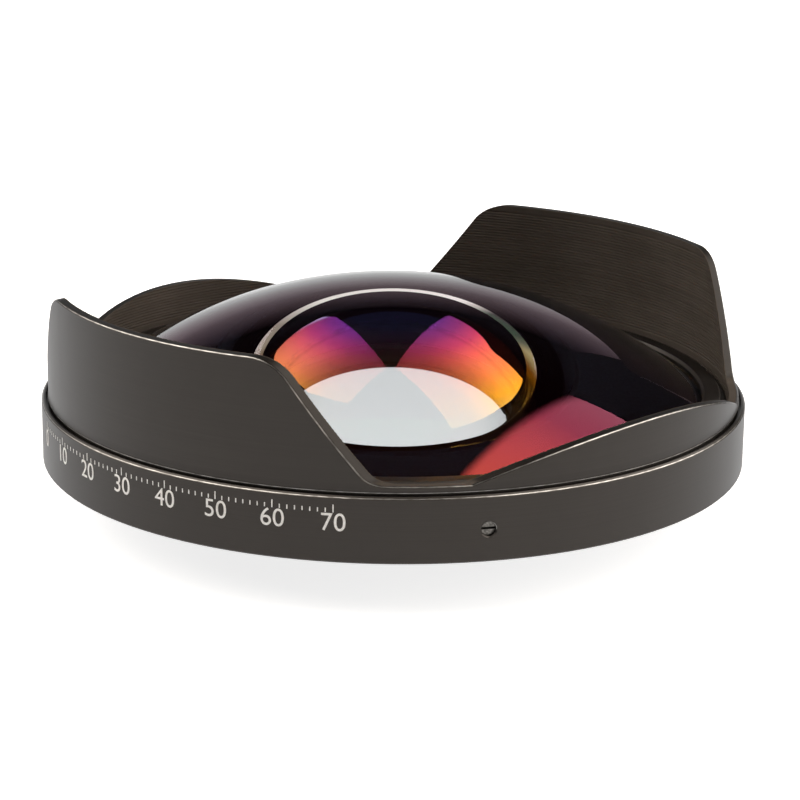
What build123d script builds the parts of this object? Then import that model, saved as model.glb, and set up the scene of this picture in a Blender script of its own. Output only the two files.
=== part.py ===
from build123d import *
from math import cos, radians, sin, sqrt
import os

# A screw-on fisheye lens with a turning petal hood.
# The optical axis is Z. The lens looks up, and its origin is the centre of the thread's rear end,
# the face that it stands on. Sizes are in millimetres and angles in degrees.
# The low notch at the front of the hood lies towards -Y, and the petals stand on the diagonals.
# Two diameters drive the rest, the outer ring's and the mounting thread's: walls, ledges and
# clearances lead from the first inwards to the front glass, and from the second to the rear glass.

# Outer ring
outer_ring_diameter = 105.0
outer_ring_height = 9.4
outer_ring_wall = 1.5
outer_ring_lip_height = 0.8
outer_ring_lip_gap = 0.15
outer_ring_top_bore_depth = 0.8
outer_ring_top_gap = 0.4
outer_ring_top_chamfer = 0.35
outer_ring_bottom_chamfer = 0.2

# Petal hood
hood_height = 27.3
hood_wall = 1.45
hood_shoulder_width = 0.55
hood_skirt_wall = 1.2
hood_skirt_gap = 0.05
hood_skirt_end_gap = 0.05
hood_running_clearance = 0.1
hood_notch_height = 10.6
hood_short_petal_height = 16.2
hood_short_petal_width_share = 0.5447
hood_tall_petal_top_width_share = 0.4505
hood_tall_petal_foot_width_share = 0.6621
hood_tall_corner_radius = 6.0
hood_tall_foot_radius = 3.0
hood_tall_petal_angle = 45.0
hood_short_petal_angle = 135.0
hood_outer_edge_chamfer = 0.22
hood_groove_pitch = 0.45
hood_groove_depth = 0.08
hood_groove_margin = 0.6
hood_edge_probe_shares = (0.0, 0.25, 0.5, 0.75, 1.0)
hood_edge_probe_tolerance = 0.002

# Cup that carries the front glass
cup_rim_height = 9.6
cup_mouth_wall = 0.7
cup_mouth_step = 0.85
cup_thread_bore_depth = 2.5
cup_ledge_width = 2.7
cup_ledge_height = 1.2
cup_floor_thickness = 1.2
cup_floor_drop = 1.5
cup_floor_inset = 3.65
cup_groove_width = 2.3
cup_groove_depth = 0.35
cup_edge_chamfer = 0.25

# Front glass, a thick meniscus
glass_front_radius = 74.0
glass_centre_thickness = 11.4
glass_hollow_radius = 25.0
glass_edge_drop = 1.88
glass_side_gap = 0.1
glass_boss_gap = 0.4
glass_back_gap = 0.3
glass_seat_gap = 0.05
glass_bevel = 0.5

# Seat under the front glass
gasket_thickness = 0.5
gasket_side_gap = 0.1

# Ring that holds the front glass
front_ring_rise = 0.8
front_ring_overlap = 1.9
front_ring_glass_gap = 0.1
front_ring_thread_clearance = 0.1
front_ring_inner_chamfer = 0.4
front_ring_outer_chamfer = 0.25

# Rear mount
mount_thread_diameter = 46.0
mount_thread_length = 4.5
mount_wall = 1.35
mount_flange_width = 3.0
mount_flange_height = 2.5
mount_flange_groove_width = 0.8
mount_flange_groove_depth = 0.4
mount_edge_chamfer = 0.3

# Rear cell, a flanged tube that passes through the cup's floor
cell_wall = 1.0
cell_end_recess = 0.4
cell_flange_thickness = 0.65
cell_mouth_chamfer = 0.65
cell_thread_clearance = 0.05

# Rear glass, seated from below, and the ring that holds it
rear_glass_edge_thickness = 2.4
rear_glass_front_radius = 300.0
rear_glass_side_gap = 0.1
rear_glass_seat_width = 1.5
rear_glass_seat_gap = 0.03
rear_glass_bevel = 0.2
rear_ring_height = 1.0
rear_ring_thickness = 1.2
rear_ring_thread_clearance = 0.05
rear_ring_glass_gap = 0.05
rear_ring_slot_width = 1.2
rear_ring_slot_depth = 0.5

# Grub screws
screw_count = 3
screw_first_angle = -75.7
screw_height = 4.6
screw_diameter = 2.0
screw_recess = 0.6
screw_point_gap = 0.1
screw_slot_width = 0.35
screw_slot_depth = 0.7
screw_point_chamfer = 0.3
screw_thread_clearance = 0.03
screw_hole_countersink = 0.15
screw_skirt_hole_clearance = 0.15

# One overrun serves every cut
overrun = 1.0

# Cylinders and cones are placed by the middle of their lower end
from_lower_end = (Align.CENTER, Align.CENTER, Align.MIN)

# Radii from the outer ring inwards to the front glass
outer_ring_radius = outer_ring_diameter / 2
outer_ring_bore_radius = outer_ring_radius - outer_ring_wall
hood_skirt_radius = outer_ring_bore_radius - hood_skirt_gap
hood_skirt_bore_radius = hood_skirt_radius - hood_skirt_wall
hood_radius = hood_skirt_radius + hood_shoulder_width
hood_bore_radius = hood_radius - hood_wall
outer_ring_top_bore_radius = hood_radius + outer_ring_top_gap
cup_radius = hood_skirt_bore_radius - hood_running_clearance
outer_ring_lip_bore_radius = cup_radius + outer_ring_lip_gap
cup_floor_radius = cup_radius - cup_floor_inset
cup_thread_bore_radius = cup_radius - cup_mouth_wall
cup_glass_bore_radius = cup_thread_bore_radius - cup_mouth_step
cup_ledge_bore_radius = cup_glass_bore_radius - cup_ledge_width
glass_edge_radius = cup_glass_bore_radius - glass_side_gap
glass_boss_radius = cup_ledge_bore_radius - glass_boss_gap
front_ring_radius = cup_thread_bore_radius - front_ring_thread_clearance
front_ring_opening_radius = glass_edge_radius - front_ring_overlap
screw_outer_radius = outer_ring_radius - screw_recess
screw_inner_radius = cup_radius - cup_groove_depth + screw_point_gap

# Radii from the mounting thread inwards to the rear opening
mount_thread_radius = mount_thread_diameter / 2
mount_bore_radius = mount_thread_radius - mount_wall
mount_flange_radius = mount_thread_radius + mount_flange_width
cell_tube_radius = mount_bore_radius - cell_thread_clearance
cell_glass_bore_radius = cell_tube_radius - cell_wall
cell_bore_radius = cell_glass_bore_radius - rear_glass_seat_width
cell_flange_radius = mount_flange_radius
rear_glass_radius = cell_glass_bore_radius - rear_glass_side_gap
rear_ring_radius = cell_glass_bore_radius - rear_ring_thread_clearance

# Heights worked out upwards
floor_bottom_z = mount_thread_length + mount_flange_height
floor_top_z = floor_bottom_z + cup_floor_thickness
ring_bottom_z = floor_bottom_z + cup_floor_drop
glass_back_z = floor_top_z + glass_back_gap
ledge_z = glass_back_z + cup_ledge_height
glass_seat_z = ledge_z + gasket_thickness + glass_seat_gap
cup_rim_z = ring_bottom_z + cup_rim_height
glass_edge_z = cup_rim_z - glass_edge_drop
glass_centre_z = glass_edge_z - sqrt(glass_front_radius**2 - glass_edge_radius**2)
glass_apex_z = glass_centre_z + glass_front_radius
hollow_vertex_z = glass_apex_z - glass_centre_thickness
hollow_centre_z = hollow_vertex_z - glass_hollow_radius
front_ring_top_z = cup_rim_z + front_ring_rise
front_ring_bottom_z = cup_rim_z - cup_thread_bore_depth + front_ring_glass_gap
outer_ring_lip_z = ring_bottom_z + outer_ring_lip_height
outer_ring_top_z = ring_bottom_z + outer_ring_height
hood_shoulder_z = outer_ring_top_z - outer_ring_top_bore_depth
hood_notch_z = ring_bottom_z + hood_notch_height
hood_short_petal_z = ring_bottom_z + hood_short_petal_height
hood_top_z = ring_bottom_z + hood_height
screw_z = ring_bottom_z + screw_height
rear_ring_top_z = rear_ring_height + rear_ring_thickness
rear_glass_back_z = rear_ring_top_z + rear_ring_glass_gap


def height_on_sphere(centre_z, sphere_radius, radius):
    """Height of a sphere's upper half at a distance from the optical axis."""
    return centre_z + sqrt(sphere_radius**2 - radius**2)


def dome_arc(centre_z, sphere_radius, radius_a, radius_b):
    """Arc on a sphere's upper half, in the plane of the turning outline."""
    radii = (radius_a, (radius_a + radius_b) / 2, radius_b)
    heights = [height_on_sphere(centre_z, sphere_radius, radius) for radius in radii]
    return ThreePointArc(*[(radius, 0, height) for radius, height in zip(radii, heights)])


def turned(*pieces):
    """Solid turned about the optical axis from lines and arcs that close an outline."""
    return revolve(make_face(Curve() + list(pieces)), axis=Axis.Z)


def path(*corners):
    """Straight runs through (radius, height) corners."""
    return Polyline(*[(radius, 0, height) for radius, height in corners])


def turned_corners(*corners):
    """Solid turned from straight runs alone."""
    return turned(path(*corners, corners[0]))


def radial_plane(angle, radius, height):
    """Plane that faces outwards from the optical axis, with its X along the rim and its Y up."""
    outwards = (cos(radians(angle)), sin(radians(angle)), 0)
    along_rim = (-sin(radians(angle)), cos(radians(angle)), 0)
    origin = (radius * outwards[0], radius * outwards[1], height)
    return Plane(origin=origin, x_dir=along_rim, z_dir=outwards)


def radial_bore(angle, diameter, inner_radius, outer_radius):
    """Cylinder along a radius of the lens at the screws' height."""
    start = radial_plane(angle, inner_radius, screw_z)
    return start * Cylinder(diameter / 2, outer_radius - inner_radius, align=from_lower_end)


def screw_angles():
    return [screw_first_angle + 360 / screw_count * index for index in range(screw_count)]


def make_mount_ring():
    groove_low = mount_thread_length + (mount_flange_height - mount_flange_groove_width) / 2
    groove_high = groove_low + mount_flange_groove_width
    groove_floor = mount_flange_radius - mount_flange_groove_depth
    return turned_corners(
        (mount_bore_radius, 0),
        (mount_thread_radius - mount_edge_chamfer, 0),
        (mount_thread_radius, mount_edge_chamfer),
        (mount_thread_radius, mount_thread_length),
        (mount_flange_radius - mount_edge_chamfer, mount_thread_length),
        (mount_flange_radius, mount_thread_length + mount_edge_chamfer),
        (mount_flange_radius, groove_low),
        (groove_floor, groove_low),
        (groove_floor, groove_high),
        (mount_flange_radius, groove_high),
        (mount_flange_radius, floor_bottom_z),
        (mount_bore_radius, floor_bottom_z),
    )


def rear_glass_top_z(radius):
    """Height of the rear glass's convex front at a distance from the optical axis."""
    sphere_centre_z = rear_glass_back_z + rear_glass_edge_thickness
    sphere_centre_z -= sqrt(rear_glass_front_radius**2 - rear_glass_radius**2)
    return height_on_sphere(sphere_centre_z, rear_glass_front_radius, radius)


def make_rear_cell():
    """Tube from near the thread's end up to a flange in the cup's floor, with the seat facing down."""
    flange_top = floor_top_z - cell_thread_clearance
    flange_bottom = flange_top - cell_flange_thickness
    seat = rear_glass_top_z(cell_bore_radius) + rear_glass_seat_gap
    return turned_corners(
        (cell_glass_bore_radius, cell_end_recess),
        (cell_tube_radius, cell_end_recess),
        (cell_tube_radius, flange_bottom),
        (cell_flange_radius, flange_bottom),
        (cell_flange_radius, flange_top),
        (cell_bore_radius + cell_mouth_chamfer, flange_top),
        (cell_bore_radius, flange_top - cell_mouth_chamfer),
        (cell_bore_radius, seat),
        (cell_glass_bore_radius, seat),
    )


def make_rear_element():
    edge_top = rear_glass_top_z(rear_glass_radius)
    radii = (rear_glass_radius, rear_glass_radius / 2, 0)
    stations = [(radius, 0, rear_glass_top_z(radius)) for radius in radii]
    outline = path(
        (0, rear_glass_top_z(0)),
        (0, rear_glass_back_z),
        (rear_glass_radius - rear_glass_bevel, rear_glass_back_z),
        (rear_glass_radius, rear_glass_back_z + rear_glass_bevel),
        (rear_glass_radius, edge_top),
    )
    return turned(outline, ThreePointArc(*stations))


def make_rear_glass_ring():
    """Threaded ring under the rear glass, with two slots for a pin wrench."""
    ring = turned_corners(
        (cell_bore_radius, rear_ring_height),
        (rear_ring_radius, rear_ring_height),
        (rear_ring_radius, rear_ring_top_z),
        (cell_bore_radius, rear_ring_top_z),
    )
    slot = Box(2 * (rear_ring_radius + overrun), rear_ring_slot_width, 2 * rear_ring_slot_depth)
    return ring - Pos(0, 0, rear_ring_height) * slot


def make_main_barrel():
    """Cup with a ledge for the front glass, a threaded mouth and a groove for the screws' points."""
    cell_recess_radius = cell_flange_radius + cell_thread_clearance
    cell_recess_z = floor_top_z - cell_thread_clearance - cell_flange_thickness
    groove_floor = cup_radius - cup_groove_depth
    groove_low = screw_z - cup_groove_width / 2
    groove_high = screw_z + cup_groove_width / 2
    return turned_corners(
        (mount_bore_radius, floor_bottom_z),
        (cup_floor_radius, floor_bottom_z),
        (cup_floor_radius + cup_floor_drop, ring_bottom_z),
        (cup_radius, ring_bottom_z),
        (cup_radius, groove_low),
        (groove_floor, groove_low),
        (groove_floor, groove_high),
        (cup_radius, groove_high),
        (cup_radius, cup_rim_z - cup_edge_chamfer),
        (cup_radius - cup_edge_chamfer, cup_rim_z),
        (cup_thread_bore_radius, cup_rim_z),
        (cup_thread_bore_radius, cup_rim_z - cup_thread_bore_depth),
        (cup_glass_bore_radius, cup_rim_z - cup_thread_bore_depth),
        (cup_glass_bore_radius, ledge_z),
        (cup_ledge_bore_radius, ledge_z),
        (cup_ledge_bore_radius, floor_top_z),
        (cell_recess_radius, floor_top_z),
        (cell_recess_radius, cell_recess_z),
        (mount_bore_radius, cell_recess_z),
    )


def make_front_gasket():
    inner = cup_ledge_bore_radius + gasket_side_gap
    outer = cup_glass_bore_radius - gasket_side_gap
    top = ledge_z + gasket_thickness
    return turned_corners((inner, ledge_z), (outer, ledge_z), (outer, top), (inner, top))


def make_front_element():
    """Meniscus with a deep hollow in its back, a stepped edge and ground bevels."""
    bevel_z = glass_back_z + glass_bevel
    rim = sqrt(glass_hollow_radius**2 - (bevel_z - hollow_centre_z) ** 2)
    hollow = dome_arc(hollow_centre_z, glass_hollow_radius, 0, rim)
    back = path(
        (rim, bevel_z),
        (rim + glass_bevel, glass_back_z),
        (glass_boss_radius - glass_bevel, glass_back_z),
        (glass_boss_radius, bevel_z),
        (glass_boss_radius, glass_seat_z),
        (glass_edge_radius, glass_seat_z),
        (glass_edge_radius, glass_edge_z),
    )
    front = dome_arc(glass_centre_z, glass_front_radius, glass_edge_radius, 0)
    axis_line = path((0, glass_apex_z), (0, hollow_vertex_z))
    return turned(hollow, back, front, axis_line)


def make_front_retaining_ring():
    """Threaded ring whose underside follows the front glass."""
    sphere = glass_front_radius + front_ring_glass_gap
    opening = front_ring_opening_radius
    underside = dome_arc(glass_centre_z, sphere, opening, cup_glass_bore_radius)
    rest = path(
        (cup_glass_bore_radius, height_on_sphere(glass_centre_z, sphere, cup_glass_bore_radius)),
        (cup_glass_bore_radius, front_ring_bottom_z),
        (front_ring_radius, front_ring_bottom_z),
        (front_ring_radius, front_ring_top_z - front_ring_outer_chamfer),
        (front_ring_radius - front_ring_outer_chamfer, front_ring_top_z),
        (opening + front_ring_inner_chamfer, front_ring_top_z),
        (opening, front_ring_top_z - front_ring_inner_chamfer),
        (opening, height_on_sphere(glass_centre_z, sphere, opening)),
    )
    return turned(underside, rest)


def make_outer_ring():
    """Band round the foot, with a lip under the hood's skirt and threaded holes for the screws."""
    band = turned_corners(
        (outer_ring_lip_bore_radius, ring_bottom_z),
        (outer_ring_radius - outer_ring_bottom_chamfer, ring_bottom_z),
        (outer_ring_radius, ring_bottom_z + outer_ring_bottom_chamfer),
        (outer_ring_radius, outer_ring_top_z - outer_ring_top_chamfer),
        (outer_ring_radius - outer_ring_top_chamfer, outer_ring_top_z),
        (outer_ring_top_bore_radius, outer_ring_top_z),
        (outer_ring_top_bore_radius, hood_shoulder_z),
        (outer_ring_bore_radius, hood_shoulder_z),
        (outer_ring_bore_radius, outer_ring_lip_z),
        (outer_ring_lip_bore_radius, outer_ring_lip_z),
    )
    hole = screw_diameter + 2 * screw_thread_clearance
    mouth = hole + 2 * screw_hole_countersink
    for angle in screw_angles():
        band -= radial_bore(angle, hole, outer_ring_bore_radius - overrun, outer_ring_radius + overrun)
        cone = Cone(hole / 2, mouth / 2 + overrun, screw_hole_countersink + overrun, align=from_lower_end)
        band -= radial_plane(angle, outer_ring_radius - screw_hole_countersink, screw_z) * cone
    return band


def hood_profile():
    """Section of the hood's full tube, with the fine grooves on its inner face."""
    groove_count = int((hood_top_z - hood_groove_margin - hood_notch_z) / hood_groove_pitch)
    corners = [
        (hood_skirt_bore_radius, outer_ring_lip_z + hood_skirt_end_gap),
        (hood_skirt_radius, outer_ring_lip_z + hood_skirt_end_gap),
        (hood_skirt_radius, hood_shoulder_z),
        (hood_radius, hood_shoulder_z),
        (hood_radius, hood_top_z),
        (hood_bore_radius, hood_top_z),
    ]
    for index in reversed(range(groove_count)):
        foot = hood_notch_z + index * hood_groove_pitch
        corners.append((hood_bore_radius, foot + hood_groove_pitch))
        corners.append((hood_bore_radius + hood_groove_depth, foot + hood_groove_pitch / 2))
    corners.append((hood_bore_radius, hood_notch_z))
    corners.append((hood_bore_radius, cup_rim_z))
    corners.append((hood_skirt_bore_radius, cup_rim_z))
    return turned_corners(*corners)


def petal_prism(top_edge, half_span, angle):
    """Everything under a pair of petals' top edge, as a prism through the lens along one diagonal."""
    closing = Polyline((half_span, hood_notch_z), (half_span, 0), (-half_span, 0), (-half_span, hood_notch_z))
    face = make_face(Curve() + [top_edge, closing])
    return extrude(radial_plane(angle, 0, 0) * face, half_span, both=True)


def make_petal_hood():
    """Tube cut to two tall petals with sloping sides and two short ones with arched tops."""
    half_span = hood_radius + overrun
    tall_foot = hood_radius * hood_tall_petal_foot_width_share
    tall_top = hood_radius * hood_tall_petal_top_width_share
    short_foot = hood_radius * hood_short_petal_width_share
    foot_round = hood_tall_foot_radius
    corner_round = hood_tall_corner_radius
    tall_edge = FilletPolyline(
        (-half_span, hood_notch_z),
        (-tall_foot, hood_notch_z),
        (-tall_top, hood_top_z),
        (tall_top, hood_top_z),
        (tall_foot, hood_notch_z),
        (half_span, hood_notch_z),
        radius=[foot_round, corner_round, corner_round, foot_round],
    )
    short_edge = Curve() + [
        Line((-half_span, hood_notch_z), (-short_foot, hood_notch_z)),
        ThreePointArc((-short_foot, hood_notch_z), (0, hood_short_petal_z), (short_foot, hood_notch_z)),
        Line((short_foot, hood_notch_z), (half_span, hood_notch_z)),
    ]
    petals = petal_prism(tall_edge, half_span, hood_tall_petal_angle)
    petals += petal_prism(short_edge, half_span, hood_short_petal_angle)
    hood = hood_profile() & petals
    for angle in screw_angles():
        hole = screw_diameter + 2 * screw_skirt_hole_clearance
        hood -= radial_bore(angle, hole, cup_radius - overrun, hood_skirt_radius + overrun)
    hood = chamfer(hood_rim_edges(hood, arched=False), hood_outer_edge_chamfer)
    return chamfer(hood_rim_edges(hood, arched=True), hood_outer_edge_chamfer)


def hood_rim_edges(hood, arched):
    """Outer edges of the short petals' arched tops, or of all the rest of the hood's upper rim."""
    petal_plane = radial_plane(hood_short_petal_angle, 0, 0)
    petal_half_width = hood_radius * hood_short_petal_width_share

    def belongs(edge):
        spots = [edge @ share for share in hood_edge_probe_shares]
        radii = [sqrt(spot.X**2 + spot.Y**2) for spot in spots]
        outside = all(abs(radius - hood_radius) < hood_edge_probe_tolerance for radius in radii)
        upper = edge.center().Z > hood_notch_z - hood_outer_edge_chamfer
        is_arch = abs(petal_plane.to_local_coords(edge @ 0.5).X) < petal_half_width
        above_notch = (edge @ 0.5).Z > hood_notch_z + hood_outer_edge_chamfer
        return outside and upper and (is_arch and above_notch) == arched

    return [edge for edge in hood.edges() if belongs(edge)]


def make_grub_screw(angle):
    """Slotted screw without a head, set below the outer ring's face."""
    body = radial_bore(angle, screw_diameter, screw_inner_radius, screw_outer_radius)
    rims = body.edges().filter_by(GeomType.CIRCLE)
    inner_rim = rims.sort_by(lambda edge: edge.center().X**2 + edge.center().Y**2)[0]
    body = chamfer(inner_rim, screw_point_chamfer)
    slot = Box(screw_diameter + overrun, screw_slot_width, 2 * screw_slot_depth)
    return body - radial_plane(angle, screw_outer_radius, screw_z) * slot


os.makedirs("parts", exist_ok=True)

shapes = {
    "mount_ring": make_mount_ring(),
    "rear_cell": make_rear_cell(),
    "rear_element": make_rear_element(),
    "rear_glass_ring": make_rear_glass_ring(),
    "main_barrel": make_main_barrel(),
    "front_gasket": make_front_gasket(),
    "front_element": make_front_element(),
    "front_retaining_ring": make_front_retaining_ring(),
    "outer_ring": make_outer_ring(),
    "petal_hood": make_petal_hood(),
}
for number, angle in enumerate(screw_angles(), start=1):
    shapes[f"grub_screw_{number}"] = make_grub_screw(angle)

for name, shape in shapes.items():
    export_step(shape, f"parts/{name}.step")
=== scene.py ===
import math

import bpy
from mathutils import Matrix, Vector


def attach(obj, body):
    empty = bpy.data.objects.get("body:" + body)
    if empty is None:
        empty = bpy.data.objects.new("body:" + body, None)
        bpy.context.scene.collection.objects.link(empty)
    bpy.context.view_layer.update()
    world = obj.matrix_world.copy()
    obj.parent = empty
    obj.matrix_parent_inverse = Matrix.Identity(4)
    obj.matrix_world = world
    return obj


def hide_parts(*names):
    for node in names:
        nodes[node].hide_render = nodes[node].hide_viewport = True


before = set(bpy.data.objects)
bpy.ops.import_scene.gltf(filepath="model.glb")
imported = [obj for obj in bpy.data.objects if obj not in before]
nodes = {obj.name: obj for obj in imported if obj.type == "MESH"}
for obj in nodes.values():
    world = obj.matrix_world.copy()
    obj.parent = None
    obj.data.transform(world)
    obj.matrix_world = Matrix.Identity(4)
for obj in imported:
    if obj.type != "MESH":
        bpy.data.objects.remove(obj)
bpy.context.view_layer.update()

# A screw-on fisheye lens with a turning petal hood. It looks up along +Z and stands on its thread's end.
# Outlines below are in millimetres from the optical axis and from that end. Blender is in metres.
mm = 0.001


# Colours and nodes

def linear(hex_colour, alpha=1.0):
    """Linear colour of an sRGB hex value."""
    channels = [int(hex_colour[start:start + 2], 16) / 255 for start in (1, 3, 5)]
    rgb = [c / 12.92 if c <= 0.04045 else ((c + 0.055) / 1.055) ** 2.4 for c in channels]
    return (*rgb, alpha)


def add(tree, kind, inputs=None, **settings):
    """Adds a node, sets what it is told, and links the inputs that are given as sockets."""
    node = tree.nodes.new(kind)
    for name, value in settings.items():
        setattr(node, name, value)
    for name, value in (inputs or {}).items():
        socket = node.inputs[name]
        if isinstance(value, bpy.types.NodeSocket):
            tree.links.new(value, socket)
        else:
            socket.default_value = value
    return node


def new_material(name):
    material = bpy.data.materials.new(name)
    material.use_nodes = True
    material.node_tree.nodes.clear()
    return material, material.node_tree


def finish_material(tree, shader):
    add(tree, "ShaderNodeOutputMaterial", {"Surface": shader})


def principled(tree, inputs):
    return add(tree, "ShaderNodeBsdfPrincipled", inputs).outputs["BSDF"]


def emission(tree, colour, strength=1.0):
    return add(tree, "ShaderNodeEmission", {"Color": colour, "Strength": strength}).outputs["Emission"]


def mixed(tree, share, first, second):
    """The first shader, and the second in its place where the share is one."""
    return add(tree, "ShaderNodeMixShader", {0: share, 1: first, 2: second}).outputs["Shader"]


def maths(tree, operation, first, second):
    return add(tree, "ShaderNodeMath", {0: first, 1: second}, operation=operation).outputs["Value"]


def rise(tree, value, start, end):
    """Nothing up to a start, one from an end on."""
    return add(tree, "ShaderNodeMapRange", {
        "Value": value, "From Min": start, "From Max": end,
    }).outputs["Result"]


def between(tree, value, low, high, blur=0.02):
    """One where a value lies between two limits and nothing elsewhere."""
    fall = add(tree, "ShaderNodeMapRange", {
        "Value": value, "From Min": high - blur, "From Max": high + blur, "To Min": 1.0, "To Max": 0.0,
    }).outputs["Result"]
    return maths(tree, "MULTIPLY", rise(tree, value, low - blur, low + blur), fall)


def ramp(tree, factor, stops):
    """Colour ramp from (place, hex colour) stops."""
    node = add(tree, "ShaderNodeValToRGB", {"Fac": factor})
    elements = node.color_ramp.elements
    while len(elements) < len(stops):
        elements.new(0.5)
    for element, (place, colour) in zip(elements, stops):
        element.position = place
        element.color = linear(colour)
    return node.outputs["Color"]


def lens_point(tree):
    return add(tree, "ShaderNodeTexCoord").outputs["Object"]


def lens_radius(tree):
    """Distance from the optical axis in millimetres."""
    parts = add(tree, "ShaderNodeSeparateXYZ", {"Vector": lens_point(tree)}).outputs
    flat = add(tree, "ShaderNodeCombineXYZ", {"X": parts["X"], "Y": parts["Y"]})
    length = add(tree, "ShaderNodeVectorMath", {0: flat.outputs["Vector"]}, operation="LENGTH")
    return maths(tree, "MULTIPLY", length.outputs["Value"], 1 / mm)


def lens_height(tree):
    """Height over the thread's end in millimetres."""
    parts = add(tree, "ShaderNodeSeparateXYZ", {"Vector": lens_point(tree)}).outputs
    return maths(tree, "MULTIPLY", parts["Z"], 1 / mm)


def grain(tree, size, detail=2.0):
    """Noise from 0 to 1 whose coarsest grain has a size in millimetres."""
    return add(tree, "ShaderNodeTexNoise", {
        "Vector": lens_point(tree), "Scale": 1 / (size * mm), "Detail": detail,
    }).outputs["Fac"]


def turned_marks(tree, spacing, seed):
    """Fine rings that a lathe tool leaves, the same all the way round, from 0 to 1."""
    place = add(tree, "ShaderNodeCombineXYZ", {"X": lens_radius(tree), "Y": lens_height(tree), "Z": seed})
    return add(tree, "ShaderNodeTexNoise", {
        "Vector": place.outputs["Vector"], "Scale": 1 / spacing, "Detail": 2.0, "Roughness": 0.6,
    }).outputs["Fac"]


# Materials of the metal and rubber pieces

satin = {
    "colour": "#2d2a27", "sheen_colour": "#33302d", "rough": 0.34, "mark_spacing": 0.22, "mark_depth": 0.0015,
}
# Distances from the optical axis between which a look lies, and heights between which one sets in: the hood's
# painted sheen inside, its painted shade on the cut faces, and the painted highlights on the edges
hood_inner_radius = 51.1
hood_shaded_cut_radii = (50.2, 51.4)
hood_highlight_edge_radii = (51.33, 51.43)
above_low_notch = (19.3, 19.6)
ring_highlight_edge_radii = (52.33, 52.42)
above_ring_side = (13.0, 13.1)


def anodised_skin(tree, colour, sheen_colour, rough, mark_spacing, mark_depth, seed, gloss=0.5):
    """Turned aluminium with a dyed black oxide skin: a dark satin face with faint rings round it."""
    marks = turned_marks(tree, mark_spacing, seed)
    cloud = grain(tree, 9, detail=3.0)
    tone = maths(tree, "MULTIPLY", marks, cloud)
    roughness = add(tree, "ShaderNodeMapRange", {
        "Value": cloud, "To Min": rough - 0.04, "To Max": rough + 0.05,
    }).outputs["Result"]
    bump = add(tree, "ShaderNodeBump", {"Height": marks, "Distance": mark_depth * mm, "Strength": 1.0})
    return principled(tree, {
        "Base Color": ramp(tree, tone, [(0.12, colour), (0.42, sheen_colour)]),
        "Roughness": roughness, "Metallic": 0.0, "Specular IOR Level": gloss,
        "Specular Tint": linear("#fff4ec"), "Normal": bump.outputs["Normal"],
    })


def anodised_aluminium(name, **skin):
    """One anodised skin all over: how dark, dull and ringed it looks is what the call says."""
    material, tree = new_material(name)
    finish_material(tree, anodised_skin(tree, **skin))
    return material


def worn_edge_painted_highlight(tree):
    """Bare aluminium where the black skin has rubbed off a sharp edge, and a painted highlight for the light
    that the edge catches: it shows as a thin bright line.
    """
    base = ramp(tree, grain(tree, 1.5, detail=3.0), [(0.35, "#85827e"), (0.65, "#c2bfba")])
    return principled(tree, {"Base Color": base, "Roughness": 0.34, "Metallic": 1.0})


def anodised_hood_painted_sheen_shade():
    """Satin outside, and inside a lighter brown, duller face: painted sheen for the sheen the same skin shows
    there, throwing little light at the glass.
    The faces cut between the petals are blacker as painted shade, and their outer corner is a thin bright
    line of bare metal: rubbed skin and painted highlight."""
    material, tree = new_material("black_anodised_aluminium_hood_painted_sheen_shade_highlight")
    radius = lens_radius(tree)
    outside = anodised_skin(tree, **satin, seed=3.0)
    # Painted sheen: inside, a lighter brown base colour stands in for the sheen of the same anodised skin
    inside = anodised_skin(
        tree, "#46403a", "#524b45", rough=0.75, mark_spacing=0.3, mark_depth=0.001, seed=5.0, gloss=0.05)
    # Painted shade: the faces cut between the petals get a blacker base colour
    cut = anodised_skin(
        tree, "#171411", "#241f1b", rough=0.45, mark_spacing=0.22, mark_depth=0.003, seed=9.0, gloss=0.25)
    share = rise(tree, radius, hood_inner_radius, hood_inner_radius + 0.1)
    above_notch = rise(tree, lens_height(tree), *above_low_notch)
    on_shaded_cut = maths(tree, "MULTIPLY", between(tree, radius, *hood_shaded_cut_radii), above_notch)
    skin = mixed(tree, on_shaded_cut, mixed(tree, share, inside, outside), cut)
    # Painted highlight: the cut faces' outer corner is bright bare metal
    on_highlight_edge = between(tree, radius, *hood_highlight_edge_radii)
    finish_material(tree, mixed(tree, on_highlight_edge, skin, worn_edge_painted_highlight(tree)))
    return material


def anodised_ring_painted_highlight():
    """The same satin skin as the hood's outside, with bright bare metal along the ring's upper edge: rubbed
    skin and a painted highlight.
    """
    material, tree = new_material("black_anodised_aluminium_ring_painted_highlight")
    skin = anodised_skin(tree, **satin, seed=7.0)
    above_side = rise(tree, lens_height(tree), *above_ring_side)
    # Painted highlight: bright bare metal along the ring's upper edge
    on_highlight_edge = maths(tree, "MULTIPLY", between(tree, lens_radius(tree), *ring_highlight_edge_radii), above_side)
    finish_material(tree, mixed(tree, on_highlight_edge, skin, worn_edge_painted_highlight(tree)))
    return material


def blackened_steel():
    """Thinly blackened steel, brighter and glossier than the ring round it."""
    material, tree = new_material("blackened_steel_machined")
    cut_grain = grain(tree, 0.3)
    bump = add(tree, "ShaderNodeBump", {"Height": cut_grain, "Distance": 0.005 * mm})
    finish_material(tree, principled(tree, {
        "Base Color": ramp(tree, cut_grain, [(0.35, "#55524e"), (0.7, "#8c8882")]),
        "Roughness": 0.3, "Metallic": 0.9, "Normal": bump.outputs["Normal"],
    }))
    return material


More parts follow.
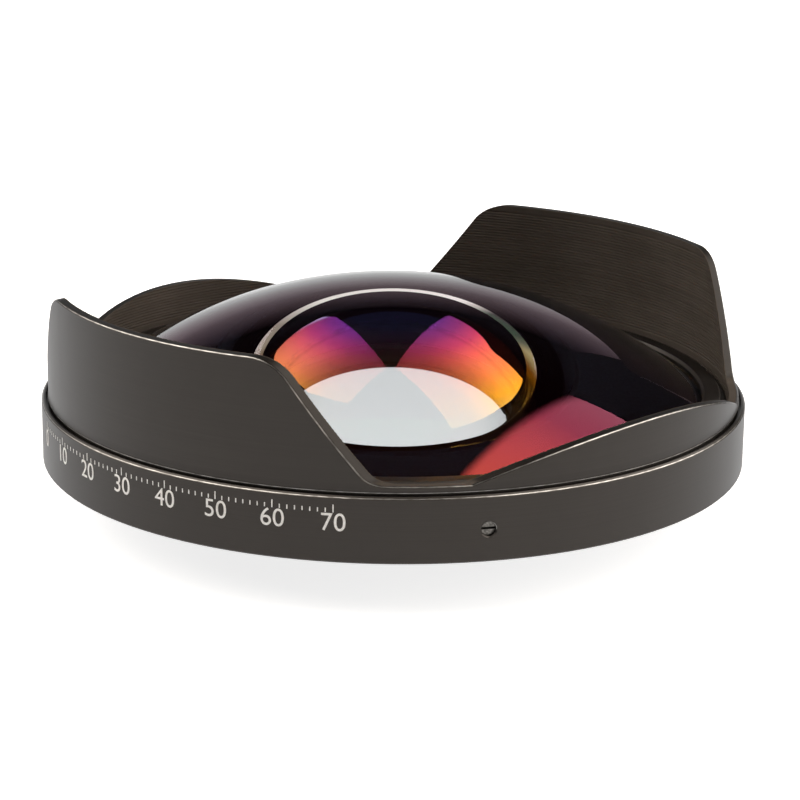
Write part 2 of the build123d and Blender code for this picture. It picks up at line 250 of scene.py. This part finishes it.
def gasket_rubber():
    """Moulded nitrile rubber: dull black with a fine grain."""
    material, tree = new_material("nitrile_rubber_moulded")
    moulded = grain(tree, 0.2, detail=3.0)
    bump = add(tree, "ShaderNodeBump", {"Height": moulded, "Distance": 0.01 * mm})
    finish_material(tree, principled(tree, {
        "Base Color": ramp(tree, moulded, [(0.3, "#0e0e0e"), (0.7, "#1a1a1a")]),
        "Roughness": 0.75, "Normal": bump.outputs["Normal"],
    }))
    return material


def scale_paint():
    """White enamel printed on the ring: flat and very slightly uneven, so the dial reads clearly."""
    material, tree = new_material("white_enamel_printed")
    base = ramp(tree, grain(tree, 0.4), [(0.3, "#f2f0ec"), (0.7, "#ffffff")])
    finish_material(tree, principled(tree, {"Base Color": base, "Roughness": 0.45}))
    return material


# Materials of the glasses

glass_ior = 1.52
# What the hollow's coating mirrors, by distance from the axis: purple at the middle, yellow further out
hollow_tints = [
    (6, "#4a2468"), (9, "#7c2c60"), (11.5, "#b23a58"), (13.5, "#de5a50"), (16.5, "#f48044"),
    (19, "#f8a42a"), (21, "#d8ac50"),
]
tint_reach = 50.0
# What the dome's coating mirrors, from a square look to a flat one: red, then purple, then white
dome_tints = [
    (0.16, "#ff6450"), (0.26, "#e85a60"), (0.36, "#b44864"), (0.45, "#b45a74"), (0.6, "#d8a6bc"),
    (0.72, "#ffdeea"), (0.85, "#ffffff"),
]
# Painted light that the ring under the glass glows with, by turn about the axis: pale behind, brown and gold
# at the sides
ring_painted_glow_tints = [
    (0.0, "#7d6550"), (0.15, "#5c4c3a"), (0.4, "#4c4230"), (0.5, "#6a5c34"), (0.53, "#a08c52"),
    (0.575, "#957e54"), (0.59, "#54483c"), (0.605, "#2a211c"), (0.65, "#302926"), (0.668, "#c0b6b0"),
    (0.685, "#f4ebe8"), (0.82, "#e2dcd5"), (0.85, "#b8aca8"), (0.88, "#84706a"), (1.0, "#7d6550"),
]


def slant(tree, low, high, to_low=0.0, to_high=1.0):
    """Value that grows as the surface is looked at more flatly. Angles are from square on, in degrees."""
    facing = add(tree, "ShaderNodeLayerWeight", {"Blend": 0.5}).outputs["Facing"]
    return add(tree, "ShaderNodeMapRange", {
        "Value": facing,
        "From Min": 1 - math.cos(math.radians(low)), "From Max": 1 - math.cos(math.radians(high)),
        "To Min": to_low, "To Max": to_high,
    }, interpolation_type="SMOOTHSTEP").outputs["Result"]


def bare_share(tree):
    """Share of the light that uncoated glass mirrors."""
    return add(tree, "ShaderNodeFresnel", {"IOR": glass_ior}).outputs["Fac"]


def mixed_hues(tree, share, first, second):
    return add(tree, "ShaderNodeMix", {0: share, 6: first, 7: second}, data_type="RGBA").outputs[2]


def glass_surface(tree, clear_colour, hue, share):
    """Clear glass under a coating, which mirrors a share of the light in its own hue."""
    clear = add(tree, "ShaderNodeBsdfRefraction", {
        "Color": linear(clear_colour), "Roughness": 0.0, "IOR": glass_ior,
    })
    mirror = add(tree, "ShaderNodeBsdfGlossy", {"Color": hue, "Roughness": 0.0})
    finish_material(tree, mixed(tree, share, clear.outputs["BSDF"], mirror.outputs["BSDF"]))


def polished_front():
    """Polished glass with a red coating outside: a dim red mirror seen square on, pale at a flat look."""
    material, tree = new_material("optical_glass_coated_front")
    facing = add(tree, "ShaderNodeLayerWeight", {"Blend": 0.5}).outputs["Facing"]
    inside = add(tree, "ShaderNodeNewGeometry").outputs["Backfacing"]
    hue = mixed_hues(tree, inside, ramp(tree, facing, dome_tints), linear("#ffffff"))
    # From outside, the coating mirrors 14 per cent seen square on and 17 from 50 degrees on
    outside = maths(tree, "SUBTRACT", 1.0, inside)
    coated = maths(tree, "MULTIPLY", slant(tree, 20, 50, 0.14, 0.17), outside)
    glass_surface(tree, "#ffffff", hue, maths(tree, "MAXIMUM", bare_share(tree), coated))
    return material


def polished_hollow():
    """Polished glass whose coating mirrors a colour that changes outwards, and lets the rest through."""
    material, tree = new_material("optical_glass_coated_hollow")
    tint = ramp(tree, maths(tree, "DIVIDE", lens_radius(tree), tint_reach), [
        (place / tint_reach, colour) for place, colour in hollow_tints
    ])
    # The coating's own hue dims towards 39 degrees, and gives way to plain white from 46 on
    dimmed = add(tree, "ShaderNodeVectorMath", {
        0: tint, "Scale": slant(tree, 35.6, 39.4, 1.0, 0.38),
    }, operation="SCALE").outputs["Vector"]
    hue = mixed_hues(tree, slant(tree, 46, 52), dimmed, linear("#ffffff"))
    # It mirrors a twentieth seen square on, a third at 37 degrees and all from 40 on
    coated = maths(tree, "MAXIMUM", slant(tree, 18, 37, 0.06, 0.36), slant(tree, 35, 40))
    glass_surface(tree, "#fdfffc", hue, maths(tree, "MAXIMUM", bare_share(tree), coated))
    return material


def painted_back():
    """Ground glass painted dull black: the flat back and the edge mirror nothing into the lens."""
    material, tree = new_material("optical_glass_back_painted_black")
    base = ramp(tree, grain(tree, 0.4), [(0.3, "#0c0c0e"), (0.7, "#121215")])
    finish_material(tree, principled(tree, {"Base Color": base, "Roughness": 0.9, "Specular IOR Level": 0.0}))
    return material


def clear_rim():
    """Polished rim of the glass's back, left unpainted: what lies under it shows at a steep look, and at a
    flat look the rim is a full mirror."""
    material, tree = new_material("optical_glass_polished_rim")
    glass_surface(tree, "#ffffff", linear("#ffffff"), bare_share(tree))
    return material


def ring_metal_painted_glow():
    """Dull turned aluminium, which lies on the barrel's floor under the glass's clear rim. Its glow is
    painted light, in place of the light that the glass leads to it: a thin pale ring in the depth of the
    lens."""
    material, tree = new_material("dull_aluminium_ring_painted_glow")
    base = ramp(tree, grain(tree, 0.25), [(0.3, "#33322f"), (0.7, "#42403d")])
    turn = add(tree, "ShaderNodeTexGradient", {"Vector": lens_point(tree)}, gradient_type="RADIAL")
    # Painted light: the emission colours the ring by its turn about the axis
    finish_material(tree, principled(tree, {
        "Base Color": base, "Roughness": 0.5, "Metallic": 1.0,
        "Emission Color": ramp(tree, turn.outputs["Fac"], ring_painted_glow_tints), "Emission Strength": 1.15,
    }))
    return material


def rear_glass():
    """Polished glass with a faint blue-green coating: almost clear, with a cool glint."""
    material, tree = new_material("optical_glass_coated_rear")
    finish_material(tree, principled(tree, {
        "Base Color": linear("#f6fbff"), "Roughness": 0.0, "IOR": glass_ior,
        "Transmission Weight": 1.0, "Specular Tint": linear("#80c0b0"),
    }))
    return material


# Making pieces

def deselect():
    bpy.ops.object.select_all(action="DESELECT")


def arc(centre_z, sphere_radius, radius_a, radius_b, count):
    """Corners on a sphere's upper half from one distance from the axis to another, at equal turns."""
    turn_a = math.asin(radius_a / sphere_radius)
    turn_b = math.asin(radius_b / sphere_radius)
    turns = [turn_a + (turn_b - turn_a) * step / count for step in range(count + 1)]
    return [(sphere_radius * math.sin(turn), centre_z + sphere_radius * math.cos(turn)) for turn in turns]


def turned(name, outline, steps=192):
    """Piece spun about the optical axis from an outline of (radius, height) corners in millimetres."""
    deselect()
    first = outline[0]
    bpy.ops.mesh.primitive_plane_add(size=mm, location=(first[0] * mm, 0, first[1] * mm))
    piece = bpy.context.object
    piece.name = name
    bpy.ops.object.transform_apply(location=True)
    bpy.ops.object.mode_set(mode="EDIT")
    bpy.ops.mesh.merge(type="CENTER")
    for here, there in zip(outline, outline[1:]):
        move = ((there[0] - here[0]) * mm, 0, (there[1] - here[1]) * mm)
        bpy.ops.mesh.extrude_region_move(TRANSFORM_OT_translate={"value": move})
    bpy.ops.mesh.select_all(action="SELECT")
    bpy.ops.mesh.spin(steps=steps, angle=2 * math.pi, center=(0, 0, 0), axis=(0, 0, 1))
    bpy.ops.mesh.select_all(action="SELECT")
    bpy.ops.mesh.remove_doubles(threshold=0.0005 * mm)
    bpy.ops.mesh.normals_make_consistent(inside=False)
    bpy.ops.object.mode_set(mode="OBJECT")
    piece.data.name = name
    return piece


def use_material(piece, material):
    piece.data.materials.clear()
    piece.data.materials.append(material)


def smooth(piece, degrees=30):
    deselect()
    piece.select_set(True)
    bpy.context.view_layer.objects.active = piece
    bpy.ops.object.shade_smooth_by_angle(angle=math.radians(degrees))


def join_into(whole, parts):
    deselect()
    for part in (whole, *parts):
        part.select_set(True)
    bpy.context.view_layer.objects.active = whole
    bpy.ops.object.join()


# Front glass: a dome with a hollow ground into its back

front_radius = 74.0
front_centre_z = -40.096
apex_z = front_centre_z + front_radius
dome_steps = 96
hollow_steps = 64
steps_round_glass = 256
middle_thickness = 11.4
hollow_radius = 25.0
hollow_centre_z = apex_z - middle_thickness - hollow_radius
back_z = 8.5
bevel = 0.5
boss_radius = 45.0
clear_rim_inner = 40.4
clear_rim_outer = 43.9
seat_z = 10.25
edge_radius = 48.0
hollow_rim_z = back_z + bevel
hollow_rim = math.sqrt(hollow_radius**2 - (hollow_rim_z - hollow_centre_z) ** 2)

front_glass = turned("front_glass", [
    *arc(front_centre_z, front_radius, 0, edge_radius, dome_steps),
    (edge_radius, seat_z),
    (boss_radius, seat_z),
    (boss_radius, back_z + bevel),
    (boss_radius - bevel, back_z),
    (clear_rim_outer, back_z),
    (clear_rim_inner, back_z),
    (hollow_rim + bevel, back_z),
    *reversed(arc(hollow_centre_z, hollow_radius, 0, hollow_rim, hollow_steps)),
], steps_round_glass)
for finish in (polished_front(), polished_hollow(), painted_back(), clear_rim()):
    front_glass.data.materials.append(finish)
on_dome, in_hollow, on_paint, on_clear_rim = range(4)


def lies_on_sphere(place, centre_z, sphere_radius):
    return abs((Vector((0, 0, centre_z)) - place).length - sphere_radius) < 0.05


for face in front_glass.data.polygons:
    middle = face.center / mm
    if lies_on_sphere(middle, front_centre_z, front_radius):
        face.material_index = on_dome
    elif lies_on_sphere(middle, hollow_centre_z, hollow_radius):
        face.material_index = in_hollow
    elif middle.z < back_z + 0.01 and clear_rim_inner < math.hypot(middle.x, middle.y) < clear_rim_outer:
        face.material_index = on_clear_rim
    else:
        face.material_index = on_paint
smooth(front_glass)
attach(front_glass, "barrel")
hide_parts("front_element")

# Ring that lies on the barrel's floor, shows through the clear rim and glows with painted light

ring_low = back_z - 0.28
ring_top = back_z - 0.08
ring_under_glass = turned("ring_under_glass", [
    (clear_rim_inner, ring_low),
    (clear_rim_outer, ring_low),
    (clear_rim_outer, ring_top),
    (clear_rim_inner, ring_top),
    (clear_rim_inner, ring_low),
])
use_material(ring_under_glass, ring_metal_painted_glow())
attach(ring_under_glass, "barrel")

# Rear glass

rear_back_z = 2.25
rear_radius = 20.5
rear_bevel = 0.2
rear_edge_z = 4.65
rear_sphere = 300.0
rear_steps = 24
rear_centre_z = rear_edge_z - math.sqrt(rear_sphere**2 - rear_radius**2)
rear_piece = turned("rear_glass_disc", [
    *arc(rear_centre_z, rear_sphere, 0, rear_radius, rear_steps),
    (rear_radius, rear_back_z + rear_bevel),
    (rear_radius - rear_bevel, rear_back_z),
    (0, rear_back_z),
])
use_material(rear_piece, rear_glass())
smooth(rear_piece)
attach(rear_piece, "barrel")
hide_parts("rear_element")

# Finishes of the CAD pieces, and of the mounting ring below

# Flocked: almost black, so that the tube behind the rear glass stays dark
inside_finish = anodised_aluminium(
    "black_anodised_aluminium_flocked",
    colour="#0a0a0b", sheen_colour="#111112", rough=0.8, mark_spacing=0.3, mark_depth=0.004, seed=13.0,
    gloss=0.1)
# Matt: the barrel stays a step darker than the hood over it
barrel_finish = anodised_aluminium(
    "black_anodised_aluminium_matt",
    colour="#0c0b0b", sheen_colour="#161414", rough=0.62, mark_spacing=0.3, mark_depth=0.004, seed=11.0)
# Satin: the rings that a hand turns catch a soft line of light
mount_finish = anodised_aluminium(
    "black_anodised_aluminium_satin",
    colour="#242120", sheen_colour="#34302c", rough=0.4, mark_spacing=0.25, mark_depth=0.004, seed=17.0)
finishes = {
    "outer_ring": anodised_ring_painted_highlight(),
    "petal_hood": anodised_hood_painted_sheen_shade(),
    "main_barrel": barrel_finish,
    "front_retaining_ring": mount_finish,
    "rear_cell": inside_finish,
    "rear_glass_ring": inside_finish,
    "front_gasket": gasket_rubber(),
}
steel = blackened_steel()
for number in (1, 2, 3):
    finishes[f"grub_screw_{number}"] = steel
for node_name, finish in finishes.items():
    use_material(nodes[node_name], finish)

# Thin bead round the hood's foot in bright bare metal, a painted highlight that shows as one bright line

bead_foot_radius = 51.45
bead_crown_radius = 51.56
bead_middle_z = 18.22
bead_foot_half = 0.06
bead_crown_half = 0.03
bead = turned("hood_bead", [
    (bead_foot_radius, bead_middle_z - bead_foot_half),
    (bead_crown_radius, bead_middle_z - bead_crown_half),
    (bead_crown_radius, bead_middle_z + bead_crown_half),
    (bead_foot_radius, bead_middle_z + bead_foot_half),
])
# Painted highlight: the bead's finish is bright bare metal
bead_highlight_finish, bead_tree = new_material("bare_aluminium_bead_painted_highlight")
finish_material(bead_tree, worn_edge_painted_highlight(bead_tree))
use_material(bead, bead_highlight_finish)
smooth(bead)
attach(bead, "hood")

# Mounting ring with its thread cut

thread_radius = 23.0
thread_core = 22.54
thread_pitch = 0.75
thread_start = 0.55
thread_turns = 5
thread_top = 4.5
thread_bevel = 0.1
turn_steps = 96
ridge_foot = thread_core - 0.1
ridge_crown = thread_radius - 0.02
ridge_foot_half = 0.37
ridge_crown_half = 0.06
flange_radius = 26.0
flange_top = 7.0
flange_edge = 0.3
groove_floor = 25.6
groove_low = 5.35
groove_high = 6.15
mount_bore = 21.65

mount = turned("mounting_ring", [
    (mount_bore, 0),
    (thread_core - thread_bevel, 0),
    (thread_core, thread_bevel),
    (thread_core, thread_top),
    (flange_radius - flange_edge, thread_top),
    (flange_radius, thread_top + flange_edge),
    (flange_radius, groove_low),
    (groove_floor, groove_low),
    (groove_floor, groove_high),
    (flange_radius, groove_high),
    (flange_radius, flange_top),
    (mount_bore, flange_top),
    (mount_bore, 0),
])

# The ridge of the thread: a small blunt wedge swept up round the core, closed at both ends
deselect()
bpy.ops.mesh.primitive_plane_add(size=mm, location=(0, 0, 0))
ridge = bpy.context.object
wedge = [
    (ridge_foot, -ridge_foot_half), (ridge_crown, -ridge_crown_half),
    (ridge_foot, ridge_foot_half), (ridge_crown, ridge_crown_half),
]
for vertex, (radius, height) in zip(ridge.data.vertices, wedge):
    vertex.co = (radius * mm, 0, (thread_start + height) * mm)
bpy.ops.object.mode_set(mode="EDIT")
bpy.ops.mesh.select_all(action="SELECT")
bpy.ops.mesh.delete(type="ONLY_FACE")
bpy.ops.object.mode_set(mode="OBJECT")
sweep = ridge.modifiers.new("sweep", "SCREW")
sweep.axis = "Z"
sweep.screw_offset = thread_pitch * mm
sweep.iterations = thread_turns
sweep.steps = turn_steps
sweep.render_steps = turn_steps
sweep.use_merge_vertices = False
bpy.ops.object.modifier_apply(modifier="sweep")
bpy.ops.object.mode_set(mode="EDIT")
bpy.ops.mesh.select_all(action="SELECT")
bpy.ops.mesh.fill_holes(sides=4)
bpy.ops.mesh.normals_make_consistent(inside=False)
bpy.ops.object.mode_set(mode="OBJECT")
join_into(mount, [ridge])
use_material(mount, mount_finish)
smooth(mount)
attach(mount, "barrel")
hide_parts("mount_ring")

# Dial printed on the outer ring: numbers, and ticks over them. Angles are in degrees from the camera's side.

ring_radius = 52.5
print_height = 0.02
dial_first = -73.0
number_count = 8
number_step = 9.2
number_size = 3.6
number_foot_z = 12.3
strip_width = 0.6
tick_count = 57
tick_step = 1.15
ticks_to_a_number = 8
tick_width = 0.16
tick_length = 0.6
long_tick_length = 1.1
tick_foot_z = 15.6


def wrap_on_ring(piece, angle, height):
    """Bends a flat print round the outer ring: X runs along the rim and Y up, Z outwards."""
    for vertex in piece.data.vertices:
        x, y, z = vertex.co / mm
        turn = math.radians(angle) + x / ring_radius
        reach = (ring_radius + z) * mm
        vertex.co = (reach * math.sin(turn), -reach * math.cos(turn), (height + y) * mm)


def cut_into_strips(piece, spacing):
    """Cuts a flat print across the rim's direction so that it can follow the curve."""
    low = min(vertex.co.x for vertex in piece.data.vertices)
    high = max(vertex.co.x for vertex in piece.data.vertices)
    bpy.ops.object.mode_set(mode="EDIT")
    place = low + spacing
    while place < high:
        bpy.ops.mesh.select_all(action="SELECT")
        bpy.ops.mesh.bisect(plane_co=(place, 0, 0), plane_no=(1, 0, 0))
        place += spacing
    bpy.ops.object.mode_set(mode="OBJECT")


def dial_number(text, angle):
    deselect()
    bpy.ops.object.text_add(location=(0, 0, 0))
    piece = bpy.context.object
    piece.data.body = text
    piece.data.size = number_size * mm
    piece.data.align_x = "CENTER"
    piece.data.align_y = "BOTTOM"
    piece.data.extrude = print_height * mm
    piece.data.resolution_u = 6
    bpy.ops.object.convert(target="MESH")
    piece = bpy.context.object
    piece.name = f"dial_number_{text}"
    piece.data.name = piece.name
    cut_into_strips(piece, strip_width * mm)
    wrap_on_ring(piece, angle, number_foot_z)
    return piece


def dial_tick(length, angle):
    deselect()
    bpy.ops.mesh.primitive_cube_add(size=1, location=(0, 0, 0))
    tick = bpy.context.object
    tick.dimensions = (tick_width * mm, length * mm, 2 * print_height * mm)
    bpy.ops.object.transform_apply(scale=True)
    for vertex in tick.data.vertices:
        vertex.co.y += length / 2 * mm
    wrap_on_ring(tick, angle, tick_foot_z)
    return tick


prints = [dial_number(str(10 * index), dial_first + number_step * index) for index in range(number_count)]
for index in range(tick_count):
    length = long_tick_length if index % ticks_to_a_number == 0 else tick_length
    prints.append(dial_tick(length, dial_first + tick_step * index))
join_into(prints[0], prints[1:])
dial = bpy.context.object
dial.name = "dial_print"
dial.data.name = "dial_print"
use_material(dial, scale_paint())
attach(dial, "hood")

# Floor and backdrop, in metres

floor_size = 8
paper_glow = 0.8
under_lens_radius = 0.06
under_lens_depth = 0.0005
backdrop_height = 0.6
backdrop_width = 1.92
backdrop_thickness = 0.002
backdrop_middle_x = -0.54
backdrop_y = 0.9
backdrop_tones = [
    (0.04, "#ededed"), (0.17, "#dfdfdf"), (0.3, "#cacaca"), (0.42, "#b3b3b3"), (0.48, "#9e9e9e"),
    (0.7, "#808080"), (0.84, "#595959"), (1.0, "#000000"),
]


def stage_paper():
    """Matt white paper that also glows for what looks straight at it, in a mirror or through glass."""
    material, tree = new_material("stage_paper")
    paths = add(tree, "ShaderNodeLightPath").outputs
    through = maths(tree, "MAXIMUM", paths["Is Glossy Ray"], paths["Is Transmission Ray"])
    paper = add(tree, "ShaderNodeBsdfDiffuse", {"Color": linear("#e8e8e8")}).outputs["BSDF"]
    white = linear("#ffffff")
    lit = add(tree, "ShaderNodeAddShader", {0: paper, 1: emission(tree, white, paper_glow)}).outputs["Shader"]
    seen = mixed(tree, paths["Is Camera Ray"], paper, lit)
    finish_material(tree, mixed(tree, through, seen, emission(tree, white)))
    return material


def backdrop_glow():
    """Lit wall behind the lens, as mirrors see it: brightest at its foot and fading upwards."""
    material, tree = new_material("stage_backdrop")
    share = maths(tree, "DIVIDE", lens_height(tree), backdrop_height / mm)
    finish_material(tree, emission(tree, ramp(tree, share, backdrop_tones)))
    return material


deselect()
bpy.ops.mesh.primitive_plane_add(size=floor_size, location=(0, 0, 0))
floor = bpy.context.object
floor.name = "floor"
use_material(floor, stage_paper())
floor.visible_transmission = False

# The floor is hidden from what looks through the glass, and this disc under the lens stands in for it there
deselect()
bpy.ops.mesh.primitive_circle_add(
    vertices=64, radius=under_lens_radius, fill_type="NGON", location=(0, 0, -under_lens_depth))
under_lens = bpy.context.object
under_lens.name = "paper_under_lens"
bpy.ops.object.transform_apply(location=True)
under_finish, under_tree = new_material("stage_paper_under_lens")
finish_material(under_tree, emission(under_tree, linear("#ffffff")))
use_material(under_lens, under_finish)
under_lens.visible_camera = False
under_lens.visible_diffuse = False
under_lens.visible_glossy = False
under_lens.visible_shadow = False

deselect()
bpy.ops.mesh.primitive_cube_add(size=1, location=(backdrop_middle_x, backdrop_y, backdrop_height / 2))
backdrop = bpy.context.object
backdrop.name = "backdrop"
backdrop.dimensions = (backdrop_width, backdrop_thickness, backdrop_height)
bpy.ops.object.transform_apply(location=True, rotation=True, scale=True)
use_material(backdrop, backdrop_glow())
backdrop.visible_camera = False
backdrop.visible_diffuse = False
backdrop.visible_transmission = False

# Lit panels, by the (azimuth, elevation) of their corners in degrees as the lens sees them. The two softboxes
# light the lens and show in its metal and on its dome. The windows show only through the glass, as what the
# hollow mirrors.

panel_distance = 3.0
panel_centre = Vector((0, 0, 0.025))
soft_angle = 2.5
softbox_right_top = [(142, 45), (88, 77)]


def direction(azimuth, elevation):
    """Unit vector: azimuth 0 is towards the camera and grows towards +X."""
    a, e = math.radians(azimuth), math.radians(elevation)
    return Vector((math.cos(e) * math.sin(a), -math.cos(e) * math.cos(a), math.sin(e)))


def softbox(name, corners, strength, colour, mirrored, soft_side=None):
    """Glowing panel through its corners. Where it has a soft side, its light fades in over a few degrees from
    there: a soft side is the plane through the lens and two given corners."""
    deselect()
    bpy.ops.mesh.primitive_circle_add(vertices=len(corners), radius=1, fill_type="NGON")
    panel = bpy.context.object
    panel.name = name
    for vertex, corner in zip(panel.data.vertices, corners):
        vertex.co = direction(*corner) * panel_distance + panel_centre
    material, tree = new_material(name)
    level = strength
    if soft_side:
        inwards = direction(*soft_side[0]).cross(direction(*soft_side[1])).normalized()
        depth = add(tree, "ShaderNodeVectorMath", {0: lens_point(tree), 1: inwards}, operation="DOT_PRODUCT")
        level = add(tree, "ShaderNodeMapRange", {
            "Value": depth.outputs["Value"], "To Max": strength,
            "From Max": panel_distance * math.sin(math.radians(soft_angle)),
        }, interpolation_type="SMOOTHSTEP").outputs["Result"]
    finish_material(tree, emission(tree, linear(colour), level))
    use_material(panel, material)
    panel.visible_camera = False
    panel.visible_glossy = mirrored
    panel.visible_diffuse = mirrored
    panel.visible_transmission = not mirrored


softbox("softbox_left", [
    (-142, 45), (-20, 76), (-41, 36), (-79, 23), (-115, 12),
], strength=3.2, colour="#fff8f0", mirrored=True)
softbox("softbox_right", [
    (142, 45), (135, 57), (116, 71), (88, 77), (60, 74), (42, 14), (82, 7), (116, 10), (132, 32),
], strength=3.6, colour="#fff8f0", mirrored=True, soft_side=softbox_right_top)
softbox("window_left", [
    (-154, 11), (-20, 76), (-41, 36), (-79, 23), (-111, 10), (-118, -2), (-128, -10), (-140, -16),
    (-154, -16),
], strength=5.5, colour="#cbd3ff", mirrored=False)
softbox("window_between", [
    (155, 22), (4, 77), (-20, 76), (-152, 22),
], strength=0.75, colour="#78f4a0", mirrored=False)
softbox("window_right", [
    (157, 8), (4, 77), (42, 14), (82, 5), (97, -1), (106, -6), (119, -13), (128, -17), (157, -17),
], strength=4.8, colour="#ffffff", mirrored=False)

# Surroundings: white to the camera, almost dark to everything else

world = bpy.data.worlds.new("studio")
world.use_nodes = True
world.node_tree.nodes.clear()
seen_by = add(world.node_tree, "ShaderNodeLightPath").outputs
dim = add(world.node_tree, "ShaderNodeBackground", {"Color": linear("#ffffff"), "Strength": 0.02})
white = add(world.node_tree, "ShaderNodeBackground", {"Color": linear("#ffffff"), "Strength": 1.0})
around = mixed(
    world.node_tree, seen_by["Is Camera Ray"], dim.outputs["Background"], white.outputs["Background"])
add(world.node_tree, "ShaderNodeOutputWorld", {"Surface": around})
bpy.context.scene.world = world
bpy.context.scene.view_settings.view_transform = "Standard"

# Camera, as fitted to the photograph

camera_elevation = math.radians(17.319)
camera_roll = math.radians(0.597)
camera_distance = 0.42
camera_lens = 124.92
camera_shift = (0.00892, 0.05954)
aim = Vector((0, 0, 8.5 * mm))
back = Vector((0, -math.cos(camera_elevation), math.sin(camera_elevation)))
tilt = Matrix.Rotation(math.radians(90) - camera_elevation, 3, "X")
deselect()
bpy.ops.object.camera_add(location=aim + back * camera_distance)
camera = bpy.context.object
camera.name = "photo_camera"
camera.rotation_euler = (tilt @ Matrix.Rotation(camera_roll, 3, "Z")).to_euler()
camera.data.sensor_width = 36
camera.data.lens = camera_lens
camera.data.shift_x, camera.data.shift_y = camera_shift
camera.data.clip_start = 0.01
bpy.context.scene.camera = camera
